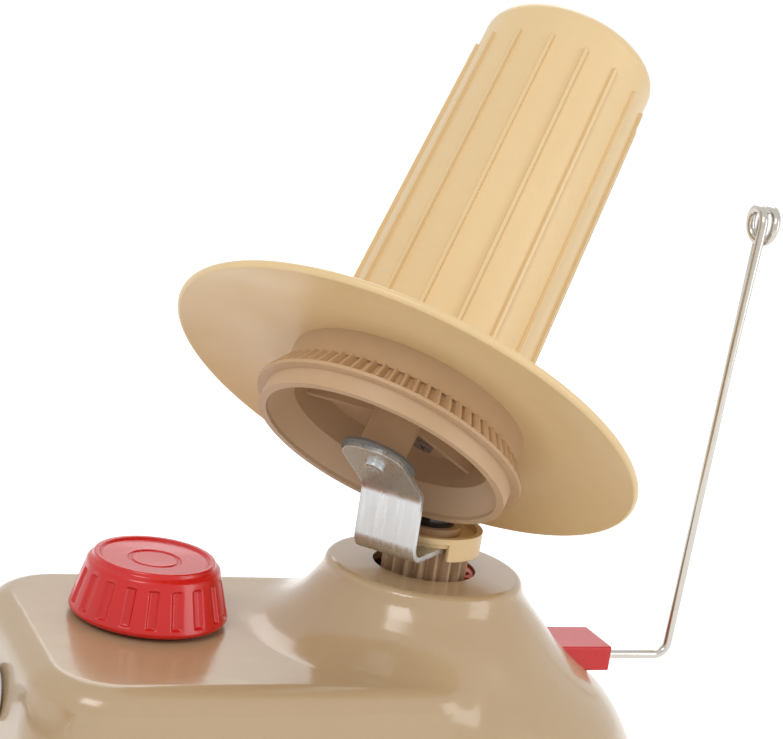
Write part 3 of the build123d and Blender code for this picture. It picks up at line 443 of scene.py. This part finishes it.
def knob_side(bottom, top, start, stop):
    """Rings up the side, closer where the flutes begin and end."""
    foot = bottom + KNOB_FOOT_UP
    slope = (KNOB_SHOULDER_R - KNOB_FOOT_R) / (top - KNOB_SHOULDER_DOWN - foot)
    heights = [start - 0.4 + FINE_STEP * i for i in range(FINE_STEPS)]
    heights += [start + 1 + (stop - start - 2) * i / COARSE_STEPS for i in range(COARSE_STEPS + 1)]
    heights += [stop - 0.5 + FINE_STEP * i for i in range(FINE_STEPS)]
    return [(KNOB_FOOT_R + slope * (z - foot), z) for z in heights]


def make_knob():
    """Knob with narrow grooves between broad lands, a raised rim and a shallow dish with an inner ring."""
    low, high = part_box("clamp_knob")
    centre = (low + high) / 2
    bottom = low.z / MM
    top = high.z / MM
    start, stop = bottom + FLUTE_UP, top - FLUTE_DOWN
    outline = knob_outline(bottom, top)
    cut = next(i for i, (r, z) in enumerate(outline) if z > stop)
    outline = outline[:cut] + knob_side(bottom, top, start, stop) + outline[cut:]

    def fluted(radius, height, angle):
        if radius < KNOB_SIDE_R:
            return radius
        along = smooth_step(start - FLUTE_END, start + FLUTE_END, height)
        along *= 1 - smooth_step(stop - FLUTE_END, stop + FLUTE_END, height)
        turn = (angle * KNOB_FLUTES / (2 * math.pi)) % 1.0
        across = abs(turn - 0.5) * 2 * math.pi * radius / KNOB_FLUTES
        return radius - FLUTE_DEPTH * along * (1 - smooth_step(FLUTE_FLAT, FLUTE_EDGE, across))

    place = Matrix.Translation((centre.x, centre.y, 0))
    piece = rings("fluted_knob", outline, KNOB_COLUMNS, place, fluted)
    finish_piece(piece, "red_gloss", "knob", "clamp_knob")


# Grip, in mm: heights run along it from its inner end.
GRIP_COLUMNS = 96
GRIP_STEPS = 30
GRIP_BORE_R, GRIP_R = 2.6, 7.6
GRIP_SWELL, GRIP_WAIST = 0.4, 1.3
GRIP_ROUND = 1.6
GRIP_RINGS, GRIP_RING_DEPTH, GRIP_RING_WIDTH = (0.12, 0.88), 0.35, 0.018


def grip_radius(share):
    """Radius at a share of the grip's length."""
    radius = GRIP_R + GRIP_SWELL * math.sin(math.pi * min(share * 3, 1))
    radius -= GRIP_WAIST * smooth_step(0.15, 0.8, share)
    for ring_at in GRIP_RINGS:
        radius -= GRIP_RING_DEPTH * math.exp(-((share - ring_at) / GRIP_RING_WIDTH) ** 2)
    return radius


def make_grip():
    """Turned handle with two finger rings near its ends."""
    low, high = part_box("crank_grip")
    centre = (low + high) / 2
    length = (high.x - low.x) / MM
    outline = [(GRIP_BORE_R, 0.0), (6.6, 0.0), (7.3, 0.5), (GRIP_R, 1.4)]
    for step in range(GRIP_STEPS + 1):
        share = step / GRIP_STEPS
        outline.append((grip_radius(share), GRIP_ROUND + (length - 2 * GRIP_ROUND) * share))
    outline += [(6.9, length - 1.0), (6.5, length - 0.2), (6.0, length)]
    outline += [(GRIP_BORE_R, length), (GRIP_BORE_R, 0.0)]
    turn = Matrix.Translation((low.x, centre.y, centre.z)) @ Matrix.Rotation(math.radians(90), 4, "Y")
    piece = rings("turned_grip", outline, GRIP_COLUMNS, turn)
    finish_piece(piece, "red_gloss", "grip", "crank_grip")


make_camera()
make_world()
make_lights()
make_floor()
materials = make_materials()
dress_nodes(materials)
make_knob()
make_grip()
